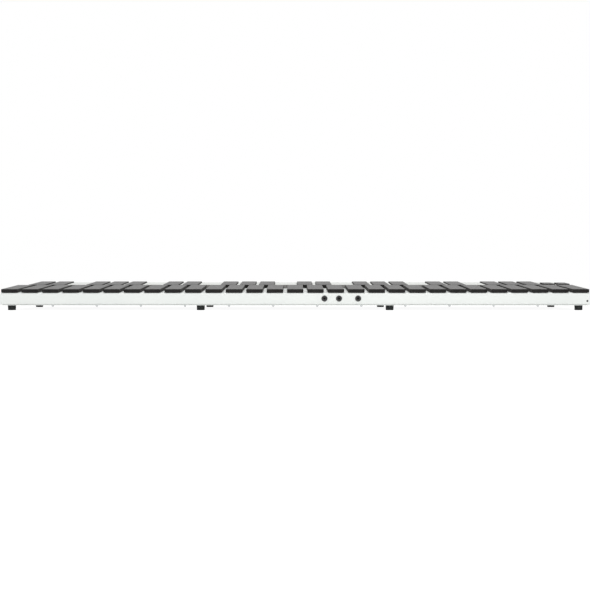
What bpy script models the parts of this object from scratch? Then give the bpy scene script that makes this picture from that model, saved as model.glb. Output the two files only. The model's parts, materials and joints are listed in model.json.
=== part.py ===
"""Mallet controller: four octaves of struck bars on a low wedge-shaped white case.

Metres, +X towards the high notes, +Y away from the player, +Z up.
The origin is on the floor, under the middle of the whole.
Each bar floats on two rubber domes that stand up through a slot in the case and press on a
sensor board below it, so every bar and both function pads travel a little when they are struck.
"""

import math

import bmesh
import bpy
from mathutils import Matrix, Vector

# Notes and bars
NATURAL_COUNT = 29
LOWEST_OCTAVE = 3
NOTE_PITCH = 0.050
BAR_WIDTH = 0.040
NATURAL_LENGTH = 0.184
SHARP_LENGTH = 0.163
BAR_HEIGHT = 0.0080
BAR_CORNER_RADIUS = 0.0015
BAR_EDGE_RADIUS = 0.0012
BAR_FLOAT = 0.0012
ROW_GAP = 0.009

# Function pads at the high end of the back row
PAD_COUNT = 2
PAD_WIDTH = 0.0285
PAD_LENGTH = 0.060
PAD_HEIGHT = 0.0092
PAD_PITCH = 0.0387
PAD_END_MARGIN = 0.0023
PAD_SETBACK = 0.026

# Case, folded from sheet
SHEET = 0.0015
BEND_RADIUS = 0.0035
CASE_END_MARGIN = 0.003
FRONT_HEIGHT = 0.0306
TOP_SLOPE = math.radians(2.9)
FLANGE_WIDTH = 0.013
SEAT_GAP = 0.0003

# Raised deck between the sharps
DECK_HEIGHT = 0.0062
DECK_WALL = 0.0020
DECK_SETBACK = 0.004
POCKET_CLEARANCE = 0.0010
RAIL_WIDTH = 0.005

# Bottom plate, its feet and its board posts
PLATE_THICKNESS = 0.0015
PLATE_INSET = 0.004
FOOT_HEIGHT = 0.012
FOOT_RADIUS = 0.010
FOOT_TAPER = 0.0005
FOOT_EDGE = 0.0010
FEET_PER_ROW = 4
FOOT_END_INSET = 0.0255
FOOT_FRONT_INSET = 0.0185
FOOT_BACK_INSET = 0.0205
POST_RADIUS = 0.0035
POST_MARGIN = 0.007

# Rubber domes and the sensor boards under them
SLOT_WIDTH = 0.014
DOME_WIDTH = 0.010
DOME_TOP_WIDTH = 0.006
DOME_SHARE = 0.25
PAD_DOME_SPACING = 0.036
SLOT_OVERRUN = 0.003
MAT_THICKNESS = 0.0012
MAT_MARGIN = 0.010
BOARD_THICKNESS = 0.0016
BOARD_END_INSET = 0.012

# Front jack sockets on the main board
JACK_POSITIONS = (0.0716, 0.1073, 0.1540)
JACK_DROP = 0.0138
JACK_NUT_RADIUS = 0.0074
JACK_NUT_HEIGHT = 0.0014
JACK_NUT_CHAMFER = 0.0005
JACK_NECK_RADIUS = 0.0050
JACK_BORE_RADIUS = 0.00325
JACK_BORE_DEPTH = 0.026
JACK_BODY_WIDTH = 0.0160
JACK_BODY_HEIGHT = 0.0130
JACK_BODY_DEPTH = 0.027
MAIN_BOARD_WIDTH = 0.180
MAIN_BOARD_DEPTH = 0.085
PROCESSOR_SIZE = 0.014
PROCESSOR_HEIGHT = 0.0020

# Rear sockets on their own board
REAR_SOCKET_X = 0.110
REAR_SOCKET_HEIGHT = 0.034
REAR_BOARD_WIDTH = 0.100
REAR_BOARD_DEPTH = 0.045
DIN_SIZE = 0.020
DIN_RECESS_RADIUS = 0.0070
DIN_CORE_RADIUS = 0.0050
DIN_DEPTH = 0.018
DIN_OFFSET = 0.0
USB_WIDTH = 0.0120
USB_HEIGHT = 0.0110
USB_DEPTH = 0.016
USB_MOUTH_WIDTH = 0.0084
USB_MOUTH_HEIGHT = 0.0078
USB_TONGUE_WIDTH = 0.0056
USB_TONGUE_HEIGHT = 0.0032
USB_OFFSET = -0.030
POWER_WIDTH = 0.0100
POWER_HEIGHT = 0.0110
POWER_DEPTH = 0.0140
POWER_BORE_RADIUS = 0.0032
POWER_PIN_RADIUS = 0.0010
POWER_OFFSET = 0.030
MOUTH_DEPTH = 0.009

# Facets
CORNER_STEPS = 3
EDGE_STEPS = 2
BEND_STEPS = 5
ROUND_STEPS = 24
FOOT_STEPS = 20
POST_STEPS = 10
SMOOTH_ANGLE = math.radians(35)
CUT_OVERRUN = 0.004

# Worked-out sizes
HALF_LENGTH = (NATURAL_COUNT - 1) * NOTE_PITCH / 2 + BAR_WIDTH / 2 + CASE_END_MARGIN
SHARP_FRONT = NATURAL_LENGTH + ROW_GAP
SHARP_BACK = SHARP_FRONT + SHARP_LENGTH
DECK_FRONT = NATURAL_LENGTH + DECK_SETBACK
DECK_BACK = SHARP_BACK + POCKET_CLEARANCE + RAIL_WIDTH
TOP_DEPTH = DECK_BACK + BEND_RADIUS
CASE_DEPTH = TOP_DEPTH * math.cos(TOP_SLOPE)
FRONT_PROUD = JACK_NUT_HEIGHT + SEAT_GAP
FRONT_Y = (FRONT_PROUD - CASE_DEPTH) / 2
BACK_Y = FRONT_Y + CASE_DEPTH
FRONT_TOP_Z = FOOT_HEIGHT + FRONT_HEIGHT
BACK_TOP_Z = FRONT_TOP_Z + TOP_DEPTH * math.sin(TOP_SLOPE)
PLATE_TOP_Z = FOOT_HEIGHT + PLATE_THICKNESS
CASE_BOTTOM_Z = PLATE_TOP_Z + SEAT_GAP
BAR_TOP = BAR_FLOAT + BAR_HEIGHT
PAD_FRONT = SHARP_FRONT + PAD_SETBACK
MAT_TOP = -SHEET - SEAT_GAP
JACK_Z = FRONT_TOP_Z - JACK_DROP
MAIN_BOARD_TOP_Z = JACK_Z - JACK_BODY_HEIGHT / 2
REAR_BOARD_TOP_Z = REAR_SOCKET_HEIGHT - DIN_SIZE / 2
REAR_SOCKETS = (
    (DIN_OFFSET, DIN_SIZE, DIN_SIZE, DIN_DEPTH),
    (USB_OFFSET, USB_WIDTH, USB_HEIGHT, USB_DEPTH),
    (POWER_OFFSET, POWER_WIDTH, POWER_HEIGHT, POWER_DEPTH),
)
SHARP_AFTER = (0, 1, 3, 4, 5)
LETTERS = "cdefgab"

MATERIALS = {
    "white_powder_coat": ("F1F4F2", 0.45, 0.0),
    "bar_rubber": ("2B2B2D", 0.55, 0.0),
    "silicone": ("8C8F92", 0.60, 0.0),
    "circuit_board": ("1F4D33", 0.40, 0.0),
}


# Materials
def linear(channel):
    if channel <= 0.04045:
        return channel / 12.92
    return ((channel + 0.055) / 1.055) ** 2.4


def make_material(name, hex_colour, roughness, metallic):
    material = bpy.data.materials.new(name)
    material.use_nodes = True
    shader = material.node_tree.nodes["Principled BSDF"]
    channels = [int(hex_colour[i : i + 2], 16) / 255 for i in (0, 2, 4)]
    shader.inputs["Base Color"].default_value = (*[linear(c) for c in channels], 1.0)
    shader.inputs["Roughness"].default_value = roughness
    shader.inputs["Metallic"].default_value = metallic
    return material


def give_material(piece, kind):
    """Each piece gets its own material of the named kind."""
    piece.data.materials.append(make_material(piece.name + "_" + kind, *MATERIALS[kind]))


# Outlines, as closed lists of 2-D points, anticlockwise
def rounded_polygon(corners, radius, steps):
    """A polygon whose corners are arcs of one radius."""
    points = []
    for i, corner in enumerate(corners):
        before = (corners[i - 1] - corner).normalized()
        after = (corners[(i + 1) % len(corners)] - corner).normalized()
        half_angle = before.angle(after) / 2
        centre = corner + (before + after).normalized() * (radius / math.sin(half_angle))
        spoke = corner + before * (radius / math.tan(half_angle)) - centre
        for step in range(steps + 1):
            turn = (math.pi - 2 * half_angle) * step / steps
            points.append(centre + Matrix.Rotation(turn, 2) @ spoke)
    return points


def rounded_rectangle(width, depth, radius, steps):
    x = width / 2
    y = depth / 2
    corners = [Vector((-x, -y)), Vector((x, -y)), Vector((x, y)), Vector((-x, y))]
    return rounded_polygon(corners, radius, steps)


def rectangle(width, depth):
    x = width / 2
    y = depth / 2
    return [Vector((-x, -y)), Vector((x, -y)), Vector((x, y)), Vector((-x, y))]


def circle(radius, steps):
    angles = [2 * math.pi * step / steps for step in range(steps)]
    return [Vector((radius * math.cos(a), radius * math.sin(a))) for a in angles]


# Solids
def add_loft(mesh, sections):
    """A closed solid through (outline, height) sections that have the same number of points."""
    rings = [[mesh.verts.new((p.x, p.y, height)) for p in outline] for outline, height in sections]
    for low, high in zip(rings, rings[1:]):
        for i in range(len(low)):
            j = (i + 1) % len(low)
            mesh.faces.new((low[i], low[j], high[j], high[i]))
    mesh.faces.new(list(reversed(rings[0])))
    mesh.faces.new(rings[-1])
    return [vert for ring in rings for vert in ring]


def add_box(mesh, low, high):
    """A box between two corners."""
    size = [b - a for a, b in zip(low, high)]
    centre = [(a + b) / 2 for a, b in zip(low, high)]
    verts = bmesh.ops.create_cube(mesh, size=1.0)["verts"]
    bmesh.ops.scale(mesh, vec=size, verts=verts)
    bmesh.ops.translate(mesh, vec=centre, verts=verts)


def new_piece(name, mesh, kind, parent=None):
    """Turns an edited mesh into a named object with its own material."""
    bmesh.ops.recalc_face_normals(mesh, faces=mesh.faces)
    data = bpy.data.meshes.new(name)
    mesh.to_mesh(data)
    mesh.free()
    data.shade_smooth()
    data.set_sharp_from_angle(angle=SMOOTH_ANGLE)
    piece = bpy.data.objects.new(name, data)
    bpy.context.collection.objects.link(piece)
    piece.parent = parent
    give_material(piece, kind)
    return piece


def new_cutter(name, mesh, parent=None):
    """A shape that is only cut out of, or joined to, another."""
    bmesh.ops.recalc_face_normals(mesh, faces=mesh.faces)
    data = bpy.data.meshes.new(name)
    mesh.to_mesh(data)
    mesh.free()
    cutter = bpy.data.objects.new(name, data)
    bpy.context.collection.objects.link(cutter)
    cutter.parent = parent
    cutter.hide_render = True
    cutter.display_type = "WIRE"
    return cutter


def combine(piece, other, operation):
    modifier = piece.modifiers.new(other.name, "BOOLEAN")
    modifier.operation = operation
    modifier.solver = "EXACT"
    modifier.object = other


# Places of the notes
def natural_x(index):
    return (index - (NATURAL_COUNT - 1) / 2) * NOTE_PITCH


def naturals():
    """(name, x) of each natural bar."""
    for index in range(NATURAL_COUNT):
        octave = LOWEST_OCTAVE + index // len(LETTERS)
        yield f"bar_{LETTERS[index % len(LETTERS)]}{octave}", natural_x(index)


def sharps():
    """(name, x) of each sharp bar, midway between two naturals."""
    for index, (name, x) in enumerate(naturals()):
        if index % len(LETTERS) in SHARP_AFTER and index < NATURAL_COUNT - 1:
            yield name + "_sharp", x + NOTE_PITCH / 2


def pads():
    """(name, x) of each function pad, counted from the low side."""
    last = HALF_LENGTH - PAD_END_MARGIN - PAD_WIDTH / 2
    for index in range(PAD_COUNT):
        yield f"function_pad_{index + 1}", last - (PAD_COUNT - 1 - index) * PAD_PITCH


def dome_lines(front, length):
    """Depths of a bar's two domes, a share of its length in from each end."""
    return front + length * DOME_SHARE, front + length * (1 - DOME_SHARE)


def pad_dome_lines():
    middle = PAD_FRONT + PAD_LENGTH / 2
    return middle - PAD_DOME_SPACING / 2, middle + PAD_DOME_SPACING / 2


# Bars and pads
def struck_piece(name, x, front, width, length, height, plane):
    """A bar or pad with rounded corners and a rounded striking edge, centred on its line of travel."""
    sections = [(rounded_rectangle(width, length, BAR_CORNER_RADIUS, CORNER_STEPS), 0.0)]
    for step in range(EDGE_STEPS + 1):
        angle = math.pi / 2 * step / EDGE_STEPS
        inset = BAR_EDGE_RADIUS * (1 - math.cos(angle))
        outline = rounded_rectangle(
            width - 2 * inset, length - 2 * inset, BAR_CORNER_RADIUS - inset, CORNER_STEPS
        )
        sections.append((outline, height - BAR_EDGE_RADIUS * (1 - math.sin(angle))))
    mesh = bmesh.new()
    add_loft(mesh, sections)
    piece = new_piece(name, mesh, "bar_rubber", plane)
    piece.location = (x, front + length / 2, BAR_FLOAT)


def add_struck_pieces(plane):
    for name, x in naturals():
        struck_piece(name, x, 0.0, BAR_WIDTH, NATURAL_LENGTH, BAR_HEIGHT, plane)
    for name, x in sharps():
        struck_piece(name, x, SHARP_FRONT, BAR_WIDTH, SHARP_LENGTH, BAR_HEIGHT, plane)
    for name, x in pads():
        struck_piece(name, x, PAD_FRONT, PAD_WIDTH, PAD_LENGTH, PAD_HEIGHT, plane)


# Case
def case_outline(inset):
    """Side view of the case as (y, z), moved in from the outer face."""
    bottom = CASE_BOTTOM_Z + inset
    front = FRONT_Y + inset
    back = BACK_Y - inset
    drop = inset / math.cos(TOP_SLOPE)
    front_top = FRONT_TOP_Z - drop + inset * math.tan(TOP_SLOPE)
    back_top = BACK_TOP_Z - drop - inset * math.tan(TOP_SLOPE)
    corners = [
        Vector((front, bottom)),
        Vector((back, bottom)),
        Vector((back, back_top)),
        Vector((front, front_top)),
    ]
    return rounded_polygon(corners, BEND_RADIUS - inset, BEND_STEPS)


def add_case_prism(mesh, inset):
    """The side view pulled along the case's length."""
    half = HALF_LENGTH - inset
    verts = add_loft(mesh, [(case_outline(inset), -half), (case_outline(inset), half)])
    turn = Matrix(((0, 0, 1), (1, 0, 0), (0, 1, 0)))
    bmesh.ops.transform(mesh, matrix=turn.to_4x4(), verts=verts)


def add_round_hole(mesh, x, y, z, radius):
    """A round cutter along Y through a wall at y."""
    outline = circle(radius, ROUND_STEPS)
    verts = add_loft(mesh, [(outline, -CUT_OVERRUN), (outline, CUT_OVERRUN)])
    place = Matrix.Translation((x, y, z)) @ Matrix.Rotation(math.pi / 2, 4, "X")
    bmesh.ops.transform(mesh, matrix=place, verts=verts)


def rear_socket_box(offset, width, height, depth, margin):
    """Low and high corners of a rear socket's body, grown by a margin across the panel."""
    x = REAR_SOCKET_X + offset
    reach = width / 2 + margin
    low = (x - reach, BACK_Y - depth, REAR_BOARD_TOP_Z - BOARD_THICKNESS / 2 - margin)
    return low, (x + reach, BACK_Y, REAR_BOARD_TOP_Z + height + margin)


def add_slot(mesh, x, lines):
    """A slot through the case's top for the domes on the given depth lines."""
    reach = DOME_WIDTH / 2 + SLOT_OVERRUN
    low = (x - SLOT_WIDTH / 2, lines[0] - reach, -CUT_OVERRUN)
    add_box(mesh, low, (x + SLOT_WIDTH / 2, lines[1] + reach, CUT_OVERRUN))


def panel_hole_cutter():
    mesh = bmesh.new()
    for x in JACK_POSITIONS:
        add_round_hole(mesh, x, FRONT_Y, JACK_Z, JACK_NECK_RADIUS + SEAT_GAP)
    for socket in REAR_SOCKETS:
        low, high = rear_socket_box(*socket, SEAT_GAP)
        add_box(mesh, low, (high[0], high[1] + CUT_OVERRUN, high[2]))
    return new_cutter("panel_holes", mesh)


def slot_cutter(plane):
    mesh = bmesh.new()
    for _, x in naturals():
        add_slot(mesh, x, dome_lines(0.0, NATURAL_LENGTH))
    for _, x in sharps():
        add_slot(mesh, x, dome_lines(SHARP_FRONT, SHARP_LENGTH))
    for _, x in pads():
        add_slot(mesh, x, pad_dome_lines())
    return new_cutter("dome_slots", mesh, plane)


def add_chassis_shell(plane):
    """Wedge-shaped case of folded sheet, open below inside a flange that runs all round."""
    mesh = bmesh.new()
    add_case_prism(mesh, 0.0)
    shell = new_piece("chassis_shell", mesh, "white_powder_coat")
    cavity = bmesh.new()
    add_case_prism(cavity, SHEET)
    combine(shell, new_cutter("cavity", cavity), "DIFFERENCE")
    mouth = bmesh.new()
    x = HALF_LENGTH - FLANGE_WIDTH
    low = (-x, FRONT_Y + FLANGE_WIDTH, CASE_BOTTOM_Z - CUT_OVERRUN)
    add_box(mouth, low, (x, BACK_Y - FLANGE_WIDTH, CASE_BOTTOM_Z + CUT_OVERRUN))
    combine(shell, new_cutter("bottom_mouth", mouth), "DIFFERENCE")
    combine(shell, panel_hole_cutter(), "DIFFERENCE")
    combine(shell, slot_cutter(plane), "DIFFERENCE")


# Deck between the sharps
def wide_spaces():
    """(low x, high x) of each space in the back row that has no sharp between two that do."""
    rows = list(sharps())
    for (_, a), (_, b) in zip(rows, rows[1:]):
        if b - a > 1.5 * NOTE_PITCH:
            yield a + BAR_WIDTH / 2 + POCKET_CLEARANCE, b - BAR_WIDTH / 2 - POCKET_CLEARANCE


def pad_block():
    """(low x, high x) of the deck's end block, which holds the function pads."""
    last = list(sharps())[-1][1]
    return last + BAR_WIDTH / 2 + POCKET_CLEARANCE, HALF_LENGTH - BEND_RADIUS / 2


def pocket_cutter(plane):
    """Open-fronted pockets for the sharps and closed ones for the pads; the last is open at the end."""
    mesh = bmesh.new()
    half = BAR_WIDTH / 2 + POCKET_CLEARANCE
    top = BAR_TOP + CUT_OVERRUN
    for _, x in sharps():
        low = (x - half, DECK_FRONT - CUT_OVERRUN, -CUT_OVERRUN)
        add_box(mesh, low, (x + half, SHARP_BACK + POCKET_CLEARANCE, top))
    half = PAD_WIDTH / 2 + POCKET_CLEARANCE
    for _, x in pads():
        low = (x - half, PAD_FRONT - POCKET_CLEARANCE, -CUT_OVERRUN)
        add_box(mesh, low, (x + half, PAD_FRONT + PAD_LENGTH + POCKET_CLEARANCE, top))
    return new_cutter("bar_pockets", mesh, plane)


def deck_hollow_cutter(plane):
    """Hollows under the wide teeth, which leave a wall all round."""
    mesh = bmesh.new()
    back = DECK_BACK - RAIL_WIDTH - DECK_WALL
    for low_x, high_x in wide_spaces():
        low = (low_x + DECK_WALL, DECK_FRONT + DECK_WALL, -CUT_OVERRUN)
        add_box(mesh, low, (high_x - DECK_WALL, back, DECK_HEIGHT - DECK_WALL))
    return new_cutter("deck_hollows", mesh, plane)


def add_accidental_deck(plane):
    """Comb that fills the back row round the sharps, with a lip along each wide tooth's front."""
    first = next(sharps())[1] - BAR_WIDTH / 2 - POCKET_CLEARANCE
    end = pad_block()[1]
    mesh = bmesh.new()
    add_box(mesh, (first, DECK_FRONT, SEAT_GAP), (end, DECK_BACK, DECK_HEIGHT))
    deck = new_piece("accidental_deck", mesh, "white_powder_coat", plane)
    lips = bmesh.new()
    for low_x, high_x in [*wide_spaces(), pad_block()]:
        low = (low_x - POCKET_CLEARANCE, DECK_FRONT, SEAT_GAP)
        add_box(lips, low, (high_x, DECK_FRONT + DECK_WALL, BAR_TOP))
    combine(deck, new_cutter("deck_lips", lips, plane), "UNION")
    combine(deck, pocket_cutter(plane), "DIFFERENCE")
    combine(deck, deck_hollow_cutter(plane), "DIFFERENCE")


# Domes and sensor boards
def add_dome_mat(name, domes, low_line, high_line, plane):
    """A moulded mat under the case's top, with a tapered dome at each (x, depth)."""
    half = HALF_LENGTH - BOARD_END_INSET
    mesh = bmesh.new()
    low = (-half, low_line - MAT_MARGIN, MAT_TOP - MAT_THICKNESS)
    add_box(mesh, low, (half, high_line + MAT_MARGIN, MAT_TOP))
    mat = new_piece(name, mesh, "silicone", plane)
    studs = bmesh.new()
    sections = [
        (rectangle(DOME_WIDTH, DOME_WIDTH), MAT_TOP - MAT_THICKNESS / 2),
        (rectangle(DOME_WIDTH, DOME_WIDTH), -SHEET),
        (rectangle(DOME_TOP_WIDTH, DOME_TOP_WIDTH), BAR_FLOAT - SEAT_GAP),
    ]
    for x, depth in domes:
        bmesh.ops.translate(studs, vec=(x, depth, 0.0), verts=add_loft(studs, sections))
    combine(mat, new_cutter(name + "_domes", studs, plane), "UNION")


def add_sensor_board(name, low_line, high_line, plane):
    """The long board that the mat presses on."""
    half = HALF_LENGTH - BOARD_END_INSET
    top = MAT_TOP - MAT_THICKNESS - SEAT_GAP
    mesh = bmesh.new()
    low = (-half, low_line - MAT_MARGIN, top - BOARD_THICKNESS)
    add_box(mesh, low, (half, high_line + MAT_MARGIN, top))
    new_piece(name, mesh, "circuit_board", plane)


def add_sensing(plane):
    lines = dome_lines(0.0, NATURAL_LENGTH)
    domes = [(x, line) for _, x in naturals() for line in lines]
    add_dome_mat("natural_dome_mat", domes, *lines, plane)
    add_sensor_board("natural_sensor_board", *lines, plane)
    lines = dome_lines(SHARP_FRONT, SHARP_LENGTH)
    domes = [(x, line) for _, x in sharps() for line in lines]
    domes += [(x, line) for _, x in pads() for line in pad_dome_lines()]
    add_dome_mat("sharp_dome_mat", domes, *lines, plane)
    add_sensor_board("sharp_sensor_board", *lines, plane)


# Bottom plate
def foot_places():
    """(x, y) of each foot, in two rows that keep their distance from the case's edges."""
    last = HALF_LENGTH - FOOT_END_INSET
    for row in (FRONT_Y + FOOT_FRONT_INSET, BACK_Y - FOOT_BACK_INSET):
        for index in range(FEET_PER_ROW):
            yield last * (2 * index / (FEET_PER_ROW - 1) - 1), row


def main_board_middle():
    x = (JACK_POSITIONS[0] + JACK_POSITIONS[-1]) / 2
    front = FRONT_Y + SHEET + SEAT_GAP
    return x, front + MAIN_BOARD_DEPTH / 2


def rear_board_middle():
    return REAR_SOCKET_X, BACK_Y - SHEET - SEAT_GAP - REAR_BOARD_DEPTH / 2


def post_places():
    """(x, y, top) of the four posts under each board; the panel side is -1 at the front, 1 at the back."""
    boards = (
        (main_board_middle(), MAIN_BOARD_WIDTH, MAIN_BOARD_DEPTH, MAIN_BOARD_TOP_Z, -1),
        (rear_board_middle(), REAR_BOARD_WIDTH, REAR_BOARD_DEPTH, REAR_BOARD_TOP_Z, 1),
    )
    for (x, y), width, depth, board_top, panel_side in boards:
        near = y + panel_side * (depth / 2 - FLANGE_WIDTH - POST_MARGIN)
        far = y - panel_side * (depth / 2 - POST_MARGIN)
        reach = width / 2 - POST_MARGIN
        top = board_top - BOARD_THICKNESS - SEAT_GAP
        for place_x in (x - reach, x + reach):
            for place_y in (near, far):
                yield place_x, place_y, top


def add_bottom_plate():
    """Plate that closes the case, with its rubber feet and the posts for the boards."""
    x = HALF_LENGTH - PLATE_INSET
    mesh = bmesh.new()
    low = (-x, FRONT_Y + PLATE_INSET, FOOT_HEIGHT)
    add_box(mesh, low, (x, BACK_Y - PLATE_INSET, PLATE_TOP_Z))
    plate = new_piece("bottom_plate", mesh, "white_powder_coat")
    feet = bmesh.new()
    sections = [
        (circle(FOOT_RADIUS - FOOT_TAPER - FOOT_EDGE, FOOT_STEPS), 0.0),
        (circle(FOOT_RADIUS - FOOT_TAPER, FOOT_STEPS), FOOT_EDGE),
        (circle(FOOT_RADIUS, FOOT_STEPS), FOOT_HEIGHT + PLATE_THICKNESS / 2),
    ]
    for place in foot_places():
        bmesh.ops.translate(feet, vec=(*place, 0.0), verts=add_loft(feet, sections))
    combine(plate, new_cutter("rubber_feet", feet), "UNION")
    posts = bmesh.new()
    outline = circle(POST_RADIUS, POST_STEPS)
    for place_x, place_y, top in post_places():
        verts = add_loft(posts, [(outline, FOOT_HEIGHT + PLATE_THICKNESS / 2), (outline, top)])
        bmesh.ops.translate(posts, vec=(place_x, place_y, 0.0), verts=verts)
    combine(plate, new_cutter("board_posts", posts), "UNION")


# Boards with sockets
def turned(mesh, sections, x, y, z, facing):
    """A turned solid whose (radius, distance) sections run back from (x, y, z) along Y."""
    outline_sections = [(circle(radius, ROUND_STEPS), distance) for radius, distance in sections]
    verts = add_loft(mesh, outline_sections)
    place = Matrix.Translation((x, y, z)) @ Matrix.Rotation(-facing * math.pi / 2, 4, "X")
    bmesh.ops.transform(mesh, matrix=place, verts=verts)


def add_main_board():
    """Main board behind the front panel, with the processor and three 6.35 mm jack sockets."""
    middle_x, middle_y = main_board_middle()
    x = MAIN_BOARD_WIDTH / 2
    y = MAIN_BOARD_DEPTH / 2
    mesh = bmesh.new()
    low = (middle_x - x, middle_y - y, MAIN_BOARD_TOP_Z - BOARD_THICKNESS)
    add_box(mesh, low, (middle_x + x, middle_y + y, MAIN_BOARD_TOP_Z))
    board = new_piece("main_board", mesh, "circuit_board")
    bodies = bmesh.new()
    body_y = FRONT_Y + SHEET + SEAT_GAP
    for jack_x in JACK_POSITIONS:
        low = (jack_x - JACK_BODY_WIDTH / 2, body_y, MAIN_BOARD_TOP_Z - BOARD_THICKNESS / 2)
        high = (jack_x + JACK_BODY_WIDTH / 2, body_y + JACK_BODY_DEPTH, JACK_Z + JACK_BODY_HEIGHT / 2)
        add_box(bodies, low, high)
    low = [middle_x - PROCESSOR_SIZE / 2, middle_y, MAIN_BOARD_TOP_Z - BOARD_THICKNESS / 2]
    high = [low[0] + PROCESSOR_SIZE, low[1] + PROCESSOR_SIZE, MAIN_BOARD_TOP_Z + PROCESSOR_HEIGHT]
    add_box(bodies, low, high)
    combine(board, new_cutter("jack_bodies", bodies), "UNION")
    necks = bmesh.new()
    nuts = bmesh.new()
    bores = bmesh.new()
    face = FRONT_Y - SEAT_GAP
    nose = face - JACK_NUT_HEIGHT
    for jack_x in JACK_POSITIONS:
        neck_length = body_y + JACK_BODY_DEPTH / 2 - nose
        neck = [(JACK_NECK_RADIUS, JACK_NUT_HEIGHT / 2), (JACK_NECK_RADIUS, neck_length)]
        turned(necks, neck, jack_x, nose, JACK_Z, 1)
        nut = [
            (JACK_NUT_RADIUS - JACK_NUT_CHAMFER, 0.0),
            (JACK_NUT_RADIUS, JACK_NUT_CHAMFER),
            (JACK_NUT_RADIUS, JACK_NUT_HEIGHT),
        ]
        turned(nuts, nut, jack_x, nose, JACK_Z, 1)
        bore = [(JACK_BORE_RADIUS, -CUT_OVERRUN), (JACK_BORE_RADIUS, JACK_BORE_DEPTH)]
        turned(bores, bore, jack_x, nose, JACK_Z, 1)
    combine(board, new_cutter("jack_necks", necks), "UNION")
    combine(board, new_cutter("jack_nuts", nuts), "UNION")
    combine(board, new_cutter("jack_bores", bores), "DIFFERENCE")


def add_rear_socket_board():
    """Small board behind the rear panel, with data, note-data and power sockets."""
    middle_x, middle_y = rear_board_middle()
    x = REAR_BOARD_WIDTH / 2
    y = REAR_BOARD_DEPTH / 2
    mesh = bmesh.new()
    low = (middle_x - x, middle_y - y, REAR_BOARD_TOP_Z - BOARD_THICKNESS)
    add_box(mesh, low, (middle_x + x, middle_y + y, REAR_BOARD_TOP_Z))
    board = new_piece("rear_socket_board", mesh, "circuit_board")
    bodies = bmesh.new()
    for socket in REAR_SOCKETS:
        add_box(bodies, *rear_socket_box(*socket, 0.0))
    combine(board, new_cutter("rear_bodies", bodies), "UNION")
    mouths = bmesh.new()
    usb_x = middle_x + USB_OFFSET
    usb_z = REAR_BOARD_TOP_Z + USB_HEIGHT / 2
    low = (usb_x - USB_MOUTH_WIDTH / 2, BACK_Y - MOUTH_DEPTH, usb_z - USB_MOUTH_HEIGHT / 2)
    high = (usb_x + USB_MOUTH_WIDTH / 2, BACK_Y + CUT_OVERRUN, usb_z + USB_MOUTH_HEIGHT / 2)
    add_box(mouths, low, high)
    recess = [(DIN_RECESS_RADIUS, -CUT_OVERRUN), (DIN_RECESS_RADIUS, MOUTH_DEPTH)]
    turned(mouths, recess, middle_x + DIN_OFFSET, BACK_Y, REAR_BOARD_TOP_Z + DIN_SIZE / 2, -1)
    power_x = middle_x + POWER_OFFSET
    power_z = REAR_BOARD_TOP_Z + POWER_HEIGHT / 2
    bore = [(POWER_BORE_RADIUS, -CUT_OVERRUN), (POWER_BORE_RADIUS, MOUTH_DEPTH)]
    turned(mouths, bore, power_x, BACK_Y, power_z, -1)
    combine(board, new_cutter("rear_mouths", mouths), "DIFFERENCE")
    cores = bmesh.new()
    low = (usb_x - USB_TONGUE_WIDTH / 2, BACK_Y - MOUTH_DEPTH - SHEET, usb_z - USB_TONGUE_HEIGHT / 2)
    high = (usb_x + USB_TONGUE_WIDTH / 2, BACK_Y - SHEET, usb_z + USB_TONGUE_HEIGHT / 2)
    add_box(cores, low, high)
    core = [(DIN_CORE_RADIUS, SHEET / 2), (DIN_CORE_RADIUS, MOUTH_DEPTH + SHEET)]
    turned(cores, core, middle_x + DIN_OFFSET, BACK_Y, REAR_BOARD_TOP_Z + DIN_SIZE / 2, -1)
    pin = [(POWER_PIN_RADIUS, SHEET), (POWER_PIN_RADIUS, MOUTH_DEPTH + SHEET)]
    turned(cores, pin, power_x, BACK_Y, power_z, -1)
    combine(board, new_cutter("rear_cores", cores), "UNION")


def clear_scene():
    for old in list(bpy.data.objects):
        bpy.data.objects.remove(old, do_unlink=True)


def add_playing_plane():
    """An empty on the case's top front edge, tilted with the top, that carries the bars."""
    plane = bpy.data.objects.new("playing_plane", None)
    bpy.context.collection.objects.link(plane)
    plane.location = (0.0, FRONT_Y, FRONT_TOP_Z)
    plane.rotation_euler = (TOP_SLOPE, 0.0, 0.0)
    return plane


def main():
    clear_scene()
    plane = add_playing_plane()
    add_struck_pieces(plane)
    add_chassis_shell(plane)
    add_accidental_deck(plane)
    add_sensing(plane)
    add_bottom_plate()
    add_main_board()
    add_rear_socket_board()


main()
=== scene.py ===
# %% [markdown]
# This scene dresses a mallet controller: an electronic marimba with two rows of rubber bars over a
# low white case. The imported model gives every piece's true size and place, so nothing here is
# fitted by eye. We load it first.

# %% Load the frame
import json
import math
import re

import bmesh
import bpy
from mathutils import Matrix, Vector


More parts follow.
